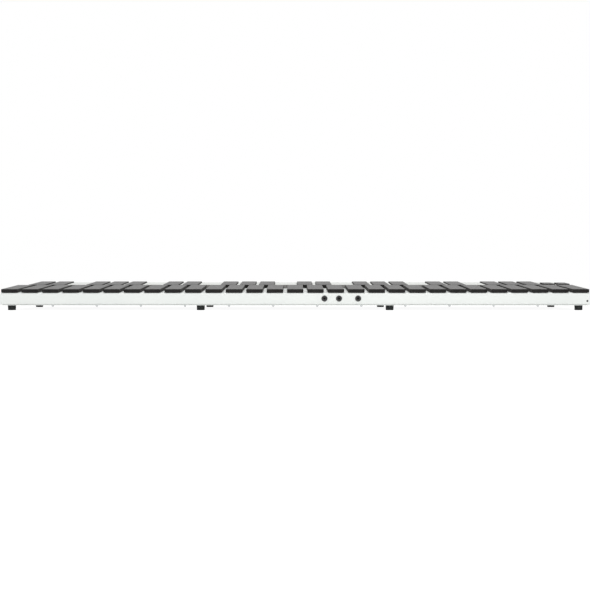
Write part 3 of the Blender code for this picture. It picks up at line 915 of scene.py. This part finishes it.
# %% [markdown]
# Three pedal sockets sit in the front panel, and their necks need round holes. The record's
# openings are the bores of these jacks, so they give the centres. The data, note-data and power
# sockets come up to the rear panel as square blocks, and each gets a window a little wider. A
# rear socket is listed by its offset, width and height in millimetres.

# %% Cut the panels' holes
HOLE_SLACK = 0.3 * MM
JACK_NECK = 5.0 * MM
LAMP_RADIUS = 1.6 * MM
LAMP_DROP = 19.7 * MM
LAMP_INSET = 8.0 * MM
REAR_SOCKET_X = 110.0 * MM
REAR_BOARD_TOP = 24.0 * MM
REAR_SOCKETS = {
    "data": (-30.0, 12.0, 11.0),
    "note_data": (0.0, 20.0, 20.0),
    "power": (30.0, 10.0, 11.0),
}

jack_centres = []
for opening in frame["record"]["physics"]["openings"]:
    near, far = (Vector(corner) for corner in opening["box_m"])
    jack_centres.append(Vector(((near.x + far.x) / 2, FRONT_Y, (near.z + far.z) / 2)))
lamp_centre = Vector((case_high.x - LAMP_INSET, FRONT_Y, top_z(FRONT_Y) - LAMP_DROP))

for centre in jack_centres:
    drill(case_sheet, centre, JACK_NECK + HOLE_SLACK)
drill(case_sheet, lamp_centre, LAMP_RADIUS + HOLE_SLACK)
for offset, width, height in REAR_SOCKETS.values():
    sill = Vector((REAR_SOCKET_X + offset * MM, BACK_Y, REAR_BOARD_TOP))
    reach = Vector((width / 2 * MM + HOLE_SLACK, CUT, 0.0))
    low = sill - reach - UP * HOLE_SLACK
    high = sill + reach + UP * (height * MM + HOLE_SLACK)
    window = start_box("window", low, high)
    end_editing()
    cut_out(case_sheet, window)
print("jacks at", [round(centre.x / MM, 1) for centre in jack_centres])

# %% [markdown]
# Cutting leaves long thin faces on the flat sheet. Shading by angle keeps the rims of the holes
# crisp and the folds round. Then the sheet takes the place of the plain solid in the frame.

# %% Finish the case
FOLD_BEND = 25.0

smooth(case_sheet, FOLD_BEND)
hand_over(case_sheet, "case", case_paint, ["chassis_shell"])
print("case has", len(case_sheet.data.polygons), "faces with all its holes")

# %% [markdown]
# The deck is a comb, and its outline is already exact in the frame. Modelling it again would only
# risk a tooth out of step with its bar. We copy the node, merge its loose triangles, dissolve
# them to clean faces and round its edges a little with a bevel, as every moulding has. The lips
# along the front of the wide teeth close the gaps of the naturals. Their faces are found by place
# and get a second finish, a mid grey that paints the shade at the back of those narrow gaps.

# %% Dress the deck
DECK_EDGE = 0.4 * MM
DECK_BEND = 35.0
LIP_DEPTH = 2.5 * MM
LIP_TOP = 8.0 * MM
FLAT_DEGREES = 1.0
EDGE_RADIANS = 0.6


def clean_copy(node, name):
    """A free copy of a CAD node with its triangles merged into clean faces."""
    piece = copy_at(nodes[node], name, Matrix.Identity(4))
    for key in list(piece.keys()):
        del piece[key]
    piece.parent = None
    make_active(piece)
    bpy.ops.object.mode_set(mode="EDIT")
    bpy.ops.mesh.select_all(action="SELECT")
    bpy.ops.mesh.remove_doubles(threshold=NEAR)
    bpy.ops.mesh.dissolve_limited(angle_limit=math.radians(FLAT_DEGREES))
    end_editing()
    return piece


deck = clean_copy("accidental_deck", "deck_moulding")
apply_modifier(
    deck, "BEVEL", width=DECK_EDGE, segments=3, limit_method="ANGLE", angle_limit=EDGE_RADIANS
)
smooth(deck, DECK_BEND)
hand_over(deck, "case", deck_plastic, ["accidental_deck"])
# Painted shade: the lip faces picked below get the mid grey that stands in for the shade in those gaps.
deck.data.materials.append(lip_painted_shade)
lip_back = level_box("accidental_deck")[0].y + LIP_DEPTH
for face in deck.data.polygons:
    corners = [LEVELLED @ deck.data.vertices[index].co for index in face.vertices]
    top = max(corner.z for corner in corners) - TOP_LEVEL
    if max(corner.y for corner in corners) < lip_back and top > LIP_TOP:
        face.material_index = 1
print("deck has", len(deck.data.polygons), "faces")

# %% [markdown]
# The bottom plate closes the case from below and holds it square. It is cut from the same sheet as
# the case and lies flat, so it gets a small radius at its corners and a broken edge, and no more.

# %% Model the bottom plate
PLATE_INSET = 4.0 * MM
PLATE_CORNER = 3.0 * MM
BROKEN_EDGE = 0.3 * MM
FOOT_HEIGHT = 12.0 * MM

plate_top = FOOT_HEIGHT + SHEET
low = (case_low.x + PLATE_INSET, FRONT_Y + PLATE_INSET, FOOT_HEIGHT)
high = (case_high.x - PLATE_INSET, BACK_Y - PLATE_INSET, plate_top)
plate = start_box("closing_plate", low, high)
pick("edges", runs_along(2))
round_edges(PLATE_CORNER, 5)
pick("edges", all_at(2, FOOT_HEIGHT))
round_edges(BROKEN_EDGE, 2)
end_editing()
smooth(plate)
# Its paint is the case's white made a little darker, as painted shade under the case.
hand_over(plate, "case", plate_paint_shaded, ["bottom_plate"])
print("plate", [round(b - a, 4) for a, b in zip(low, high)])

# %% [markdown]
# Small pan-head screws hold the plate to the case's flange, about three to an octave of bars. Their
# heads hang under the front edge, where the photograph shows them as light dots. A head is a
# turned shape, with a cross cut into it for the driver. No two screws stop at the same angle when
# they are driven home, so each is turned a little farther than the one before.

# %% Model the screws
SCREW_RADIUS = 3.0 * MM
SCREW_HEAD = 3.6 * MM
CROSS_LENGTH = 3.4 * MM
CROSS_WIDTH = 0.8 * MM
CROSS_DEPTH = 1.2 * MM
SCREW_PITCH = 108.2 * MM
SCREWS_PER_EDGE = 12
SCREW_INSET = 8.0 * MM
SCREW_TURN = 0.7  # radians
TURNED_BEND = 40.0

head_profile = [(1.0, 0.0), (1.0, 0.25), (0.93, 0.55), (0.78, 0.8), (0.55, 0.94), (0.25, 1.0)]
head = [(radius * SCREW_RADIUS, way * SCREW_HEAD) for radius, way in head_profile]
screw = turn("screw_pattern", (0.0, 0.0, 0.0), UP, head, 24)
for long_x, long_y in ((CROSS_LENGTH, CROSS_WIDTH), (CROSS_WIDTH, CROSS_LENGTH)):
    low = (-long_x / 2, -long_y / 2, SCREW_HEAD - CROSS_DEPTH)
    arm = start_box("cross_arm", low, (long_x / 2, long_y / 2, SCREW_HEAD + CROSS_DEPTH))
    end_editing()
    cut_out(screw, arm)
smooth(screw, TURNED_BEND)


def place_screw(name, x, y, z, facing, spin, size=1.0):
    """A copy of the screw with its seat at a point, facing up (1) or down (-1)."""
    turned = Matrix.Rotation(0.0 if facing > 0 else math.pi, 4, "X") @ Matrix.Rotation(spin, 4, "Z")
    placed = copy_at(screw, name, Matrix.Translation((x, y, z)) @ turned @ Matrix.Scale(size, 4))
    hand_over(placed, "case", screw_steel)


for edge, y in (("front", FRONT_Y + SCREW_INSET), ("rear", BACK_Y - SCREW_INSET)):
    for index in range(SCREWS_PER_EDGE):
        x = (index - (SCREWS_PER_EDGE - 1) / 2) * SCREW_PITCH
        place_screw(f"{edge}_plate_screw_{index + 1}", x, y, FOOT_HEIGHT, -1, SCREW_TURN * index)
print("screws", 2 * SCREWS_PER_EDGE)

# %% [markdown]
# Eight rubber feet stand under the plate in two rows. Such a foot is a moulded puck that narrows
# a little towards the floor, with a well in its sole for the screw that holds it. The well lets
# the sole grip as a ring, and it is the first thing that one sees when the case is turned over.

# %% Model the feet
FEET_PER_ROW = 4
FOOT_END_INSET = 25.5 * MM
FOOT_FRONT_INSET = 18.5 * MM
FOOT_BACK_INSET = 20.5 * MM
WELL_FLOOR = 6.5
FOOT_SCREW_TURN = 0.9  # radians
foot_profile = [
    (10.0, 0.0),
    (9.5, 11.1),
    (9.3, 11.7),
    (8.8, 12.0),
    (5.2, 12.0),
    (4.8, 11.6),
    (4.7, WELL_FLOOR),
]

downwards = [(radius * MM, FOOT_HEIGHT - way * MM) for radius, way in foot_profile]
foot = turn("foot_pattern", (0.0, 0.0, 0.0), UP, downwards)
smooth(foot, TURNED_BEND)
last = case_high.x - FOOT_END_INSET
for row, y in (("front", FRONT_Y + FOOT_FRONT_INSET), ("rear", BACK_Y - FOOT_BACK_INSET)):
    for index in range(FEET_PER_ROW):
        x = last * (2 * index / (FEET_PER_ROW - 1) - 1)
        puck = copy_at(foot, f"{row}_foot_{index + 1}", Matrix.Translation((x, y, 0.0)))
        hand_over(puck, "case", foot_rubber, ["bottom_plate"])
        seat = FOOT_HEIGHT - WELL_FLOOR * MM
        place_screw(f"{row}_foot_screw_{index + 1}", x, y, seat, -1, FOOT_SCREW_TURN * index)
bpy.data.objects.remove(foot, do_unlink=True)
print("feet", 2 * FEET_PER_ROW, "x of the last:", round(last, 4))

# %% [markdown]
# Two circuit boards stand on hexagonal posts above the plate: the main board behind the jacks and
# a small one behind the rear panel. A board is flat, so its making is quick: round its corners,
# stand it on its posts and put a screw on each.

# %% Model the boards and their posts
BOARD = 1.6 * MM
BOARD_CORNER = 2.0 * MM
BOARD_GAP = 0.3 * MM
BEHIND_PANEL = SHEET + BOARD_GAP
POST_RADIUS = 3.4 * MM
POST_MARGIN = 7.0 * MM
PANEL_MARGIN = 20.0 * MM
BOARD_SCREW_SIZE = 0.75
MAIN_BOARD_TOP = 22.3 * MM
MAIN_BOARD_LEFT = 22.8 * MM
MAIN_BOARD_SIZE = Vector((180.0 * MM, 85.0 * MM, BOARD))
REAR_BOARD_RIGHT = 160.0 * MM
REAR_BOARD_SIZE = Vector((100.0 * MM, 45.0 * MM, BOARD))
post_profile = [(0.88, 0.0), (1.0, 0.04), (1.0, 0.96), (0.88, 1.0)]


def model_board(name, node, low, high, panel_side):
    """A board with four posts under it; the panel is at its front (-1) or at its back (1)."""
    board = start_box(name, low, high)
    pick("edges", runs_along(2))
    round_edges(BOARD_CORNER, 4)
    end_editing()
    hand_over(board, "case", board_mask, [node])
    margins = (POST_MARGIN, PANEL_MARGIN) if panel_side > 0 else (PANEL_MARGIN, POST_MARGIN)
    columns = (low.x + POST_MARGIN, high.x - POST_MARGIN)
    rows = (low.y + margins[0], high.y - margins[1])
    length = low.z - BOARD_GAP - plate_top
    profile = [(radius * POST_RADIUS, way * length) for radius, way in post_profile]
    for index, (x, y) in enumerate((x, y) for x in columns for y in rows):
        post = turn(f"{name}_post_{index + 1}", (x, y, plate_top), UP, profile, 6)
        hand_over(post, "case", shield_steel, ["bottom_plate"])
        place_screw(f"{name}_screw_{index + 1}", x, y, high.z, 1, index, BOARD_SCREW_SIZE)
    print(name, "of", [round(side / MM, 1) for side in high - low], "mm on four posts")


main_low = Vector((MAIN_BOARD_LEFT, FRONT_Y + BEHIND_PANEL, MAIN_BOARD_TOP - BOARD))
main_high = main_low + MAIN_BOARD_SIZE
rear_high = Vector((REAR_BOARD_RIGHT, BACK_Y - BEHIND_PANEL, REAR_BOARD_TOP))
rear_low = rear_high - REAR_BOARD_SIZE
model_board("controller_board", "main_board", main_low, main_high, -1)
model_board("socket_board", "rear_socket_board", rear_low, rear_high, 1)
bpy.data.objects.remove(screw, do_unlink=True)

# %% [markdown]
# The processor is a square epoxy package with bent tinned leads on its four sides. One lead is
# modelled and copied round the package, since the eye only needs their rhythm.

# %% Model the processor
CHIP_SIZE = 13.0 * MM
CHIP_HEIGHT = 1.8 * MM
CHIP_SHIFT = 7.0 * MM
CHIP_EDGE = 0.3 * MM
LEADS_PER_SIDE = 11
LEAD_PITCH = 1.0 * MM
LEAD_SIZE = Vector((0.4, 0.9, 0.5)) * MM
LEAD_BEND = 0.3 * MM

chip_middle = (main_low + main_high) / 2
chip_middle.y += CHIP_SHIFT
chip_middle.z = MAIN_BOARD_TOP
reach = Vector((CHIP_SIZE / 2, CHIP_SIZE / 2, 0.0))
chip = start_box("processor", chip_middle - reach, chip_middle + reach + UP * CHIP_HEIGHT)
pick("edges", all_at(2, MAIN_BOARD_TOP + CHIP_HEIGHT))
round_edges(CHIP_EDGE, 2)
end_editing()
hand_over(chip, "case", chip_plastic, ["main_board"])
lead = start_box("lead", (-LEAD_SIZE.x / 2, 0.0, 0.0), (LEAD_SIZE.x / 2, LEAD_SIZE.y, LEAD_SIZE.z))
pick("edges", lambda e: all_at(1, LEAD_SIZE.y)(e) and all_at(2, LEAD_SIZE.z)(e))
round_edges(LEAD_BEND, 3)
end_editing()
leads = []
for side in range(4):
    for index in range(LEADS_PER_SIDE):
        shift = ((index - (LEADS_PER_SIDE - 1) / 2) * LEAD_PITCH, CHIP_SIZE / 2, 0.0)
        quarter = Matrix.Rotation(side * math.pi / 2, 4, "Z")
        matrix = Matrix.Translation(chip_middle) @ quarter @ Matrix.Translation(shift)
        leads.append(copy_at(lead, "lead_copy", matrix))
bpy.data.objects.remove(lead, do_unlink=True)
hand_over(join("processor_leads", leads), "case", shield_steel, ["main_board"])
print("leads", len(leads))

# %% [markdown]
# A pedal jack is a nylon block behind the panel, with a neck through the panel and a round nut in
# front, 15 mm across. The nut's face is dished towards the bore, so it catches a light rim above
# a dark throat. The bore really is hollow, and a spring waits in it for the plug. The bore is cut
# from block and nut one by one, since a Boolean likes closed shapes that don't overlap.

# %% Model the pedal jacks
JACK_BORE = 3.25 * MM
JACK_BORE_DEPTH = 26.0 * MM
JACK_BODY = Vector((16.0, 27.0, 13.0)) * MM
JACK_EDGE = 0.5 * MM
JACK_SPRING = Vector((2.0, 14.0, 0.4)) * MM
SPRING_START = 6.0 * MM
SPRING_DROP = 0.5 * MM
SPRING_EDGE = 0.15 * MM
SOCKET_BEND = 35.0
NOSE = 1.7 * MM
nut_profile = [
    (3.7, 0.9),
    (4.6, 0.7),
    (5.3, 0.15),
    (5.7, 0.0),
    (6.9, 0.0),
    (7.3, 0.25),
    (7.4, 0.6),
    (7.4, 1.4),
    (5.0, 1.4),
    (5.0, 3.5),
]

for index, centre in enumerate(jack_centres):
    nose = Vector((centre.x, FRONT_Y - NOSE, centre.z))
    bushing = turn("bushing", nose, BACKWARDS, in_mm(nut_profile))
    near = Vector((centre.x - JACK_BODY.x / 2, FRONT_Y + BEHIND_PANEL, MAIN_BOARD_TOP))
    block = start_box("block", near, near + JACK_BODY)
    pick("edges", lambda edge: not all_at(2, MAIN_BOARD_TOP)(edge))
    round_edges(JACK_EDGE, 2)
    end_editing()
    for piece in (bushing, block):
        bore = [(JACK_BORE, -CUT), (JACK_BORE, JACK_BORE_DEPTH)]
        cut_out(piece, turn("bore", nose, BACKWARDS, bore, 32))
    jack = join(f"pedal_jack_{index + 1}", [bushing, block])
    smooth(jack, SOCKET_BEND)
    hand_over(jack, "case", socket_plastic, ["main_board"])
    level = centre.z + JACK_BORE - SPRING_DROP
    low = Vector((centre.x - JACK_SPRING.x / 2, FRONT_Y + SPRING_START, level))
    spring = start_box(f"jack_spring_{index + 1}", low, low + JACK_SPRING)
    pick("edges", runs_along(0))
    round_edges(SPRING_EDGE, 2)
    end_editing()
    hand_over(spring, "case", contact_gold, ["main_board"])
print("jacks", len(jack_centres))

# %% [markdown]
# The rear board carries three sockets that come flush with the panel. Each is a block from which
# a well is cut, since that is how a connector's space is thought of: by what goes in. The
# note-data socket is a round well with a metal shield, and five pin holes in a half circle.

# %% Model the note-data socket
SOCKET_EDGE = 0.4 * MM
WELL_DEPTH = 9.0 * MM
ROUND_WELL = 7.0 * MM
PIN_CIRCLE = 3.5 * MM
PIN_HOLE = 0.75 * MM
PIN_HOLE_DEPTH = 6.0 * MM
PIN_HOLES = 5
shield_profile = [(6.5, 8.8), (6.5, 0.9), (6.9, 0.9), (6.9, 8.9)]
core_profile = [(5.0, 8.7), (5.0, 1.9), (4.8, 1.6)]


def rear_block(name, kind, depth_mm):
    """A socket's block on the rear board, flush with the panel, and the middle of its face."""
    offset, width, height = [value * MM for value in REAR_SOCKETS[kind]]
    face = Vector((REAR_SOCKET_X + offset, BACK_Y, REAR_BOARD_TOP + height / 2))
    low = face - Vector((width / 2, depth_mm * MM, height / 2))
    block = start_box(name, low, face + Vector((width / 2, 0.0, height / 2)))
    pick("edges", lambda edge: not all_at(2, REAR_BOARD_TOP)(edge))
    round_edges(SOCKET_EDGE, 2)
    end_editing()
    return block, face


note_socket, note_face = rear_block("note_data_socket", "note_data", 18.0)
cut_out(note_socket, turn("well", note_face, FORWARDS, [(ROUND_WELL, -CUT), (ROUND_WELL, WELL_DEPTH)]))
smooth(note_socket, SOCKET_BEND)
hand_over(note_socket, "case", socket_plastic, ["rear_socket_board"])

shield = turn("note_data_shield", note_face, FORWARDS, in_mm(shield_profile))
smooth(shield, SOCKET_BEND)
hand_over(shield, "case", shield_steel, ["rear_socket_board"])

core = turn("note_data_core", note_face, FORWARDS, in_mm(core_profile))
for step in range(PIN_HOLES):
    angle = math.pi * step / (PIN_HOLES - 1)
    place = note_face + Vector((math.cos(angle), 0.0, -math.sin(angle))) * PIN_CIRCLE
    hole = [(PIN_HOLE, 0.0), (PIN_HOLE, PIN_HOLE_DEPTH)]
    cut_out(core, turn("pin_hole", place, FORWARDS, hole, 16))
smooth(core, SOCKET_BEND)
hand_over(core, "case", socket_plastic, ["rear_socket_board"])
print("note-data socket at", round(note_face.x, 4), "with", PIN_HOLES, "pin holes")

# %% [markdown]
# The data socket's mouth is a square with its two upper corners cut off, so that a plug goes in
# only one way up. The cutter for it is a box with two of its long edges bevelled in one step. The
# block round the mouth is the shell, in plated steel.

# %% Model the data socket's shell
MOUTH_REACH = Vector((4.2, 0.0, 3.9)) * MM
MOUTH_CORNER = 1.8 * MM

shell, data_face = rear_block("data_socket_shell", "data", 16.0)
low = data_face - MOUTH_REACH + FORWARDS * WELL_DEPTH
high = data_face + MOUTH_REACH + BACKWARDS * CUT
mouth = start_box("mouth", low, high)
pick("edges", lambda edge: runs_along(1)(edge) and edge.verts[0].co.z > data_face.z)
bpy.ops.mesh.bevel(offset=MOUTH_CORNER, segments=1, affect="EDGES")
end_editing()
cut_out(shell, mouth)
smooth(shell, SOCKET_BEND)
hand_over(shell, "case", shield_steel, ["rear_socket_board"])
print("data socket at", round(data_face.x, 4))

# %% [markdown]
# Inside the mouth a nylon tongue carries two gold contacts above and two below. They are thin
# strips, but their edges are rounded too, because it is the edge that glints.

# %% Model the tongue and its contacts
TONGUE_REACH = Vector((2.8, 0.0, 1.6)) * MM
TONGUE_ROOT = 8.8 * MM
TONGUE_TIP = 1.6 * MM
TONGUE_EDGE = 0.25 * MM
CONTACT = Vector((1.0, 6.0, 0.15)) * MM
CONTACT_ROOT = 8.0 * MM
CONTACT_PITCH = 2.4 * MM
CONTACT_EDGE = 0.06 * MM
CONTACT_LEVELS = (1.6 * MM, -1.75 * MM)

low = data_face - TONGUE_REACH + FORWARDS * TONGUE_ROOT
high = data_face + TONGUE_REACH + FORWARDS * TONGUE_TIP
tongue = start_box("data_socket_tongue", low, high)
pick("edges", lambda edge: True)
round_edges(TONGUE_EDGE, 2)
end_editing()
smooth(tongue)
hand_over(tongue, "case", socket_plastic, ["rear_socket_board"])
for index in range(4):
    x = data_face.x + (index % 2 - 0.5) * CONTACT_PITCH
    z = data_face.z + CONTACT_LEVELS[index // 2]
    low = Vector((x - CONTACT.x / 2, BACK_Y - CONTACT_ROOT, z))
    contact = start_box(f"data_contact_{index + 1}", low, low + CONTACT)
    pick("edges", runs_along(0))
    round_edges(CONTACT_EDGE, 2)
    end_editing()
    hand_over(contact, "case", contact_gold, ["rear_socket_board"])
print("contacts reach to", round((CONTACT_ROOT - CONTACT.y) / MM, 1), "mm inside the panel")

# %% [markdown]
# The power socket is the simplest of the three: a block with a round bore and a pin in the middle.
# The pin is turned like the screws, with a blunt point that leads the plug on.

# %% Model the power socket
POWER_BORE = 3.2 * MM
pin_profile = [(1.0, 8.9), (1.0, 1.9), (0.6, 1.5)]

power, power_face = rear_block("power_socket", "power", 14.0)
bore = [(POWER_BORE, -CUT), (POWER_BORE, WELL_DEPTH)]
cut_out(power, turn("well", power_face, FORWARDS, bore))
smooth(power, SOCKET_BEND)
hand_over(power, "case", socket_plastic, ["rear_socket_board"])
pin = turn("power_pin", power_face, FORWARDS, in_mm(pin_profile), 24)
smooth(pin, SOCKET_BEND)
hand_over(pin, "case", contact_gold, ["rear_socket_board"])
print("power socket at", round(power_face.x, 4))

# %% [markdown]
# A small status lamp sits at the right end of the front panel. Unlit, its smoked lens is only a
# dark dot. It is a turned dome with a collar that covers the edge of its hole.

# %% Model the status lamp
lens_profile = [
    (1.5, 4.0),
    (1.6, 0.0),
    (2.4, 0.0),
    (2.4, -0.3),
    (1.7, -0.4),
    (1.2, -0.8),
    (0.5, -1.0),
]

lens = turn("status_lamp", lamp_centre, BACKWARDS, in_mm(lens_profile), 32)
smooth(lens, TURNED_BEND)
hand_over(lens, "case", lamp_acrylic)
print("lamp at", [round(value, 4) for value in lamp_centre])

# %% [markdown]
# The dome mats and sensor boards have just the shape of the real ones and lie inside the case, so
# they stay as packed and only get their finish.

# %% Dress the mats and sensor boards
inner_finishes = {
    "natural_dome_mat": dome_silicone,
    "sharp_dome_mat": dome_silicone,
    "natural_sensor_board": board_mask,
    "sharp_sensor_board": board_mask,
}
for name, material in inner_finishes.items():
    for slot in nodes[name].material_slots:
        slot.material = material
    print(name, "slots:", len(nodes[name].material_slots))

# %% [markdown]
# The floor is plain white paper. The camera has to see it as white as the room and still find the
# instrument's soft shadow on it. So most of what it sends to the camera is its own even white, and
# the rest is what the lamps leave on it, while the object is lit by ordinary paper. The Mix node
# has sockets of one name for several kinds of data, so its colour sockets are called by number.

# %% Lay the floor
FLOOR_SIZE = 16.0
FLOOR_GLOW = 0.93
FIBRE_MM = 2.0

deselect_all()
bpy.ops.mesh.primitive_plane_add(size=FLOOR_SIZE, location=(0.0, 0.0, 0.0))
floor = bpy.context.object
floor.name = "paper_floor"
floor_material, tree, shader, place = new_material("white_paper")
shader.inputs["Roughness"].default_value = 0.9
shader.inputs["Specular IOR Level"].default_value = 0.0
shader.inputs["Emission Color"].default_value = (1.0, 1.0, 1.0, 1.0)
seen = seen_directly(tree)
fibre = add_noise(tree, place, FIBRE_MM)
paper = add_node(
    tree,
    "ShaderNodeMix",
    values={7: rgba("707070")},
    links={0: seen, 6: add_tint(tree, fibre, "ECECEC", "F2F2F2")},
    data_type="RGBA",
)
own_light = add_range(tree, seen, 0.0, FLOOR_GLOW)
dress(tree, shader, Base_Color=paper.outputs[2], Emission_Strength=own_light)
floor.data.materials.append(floor_material)
print("floor of", FLOOR_SIZE, "m in", floor_material.name)
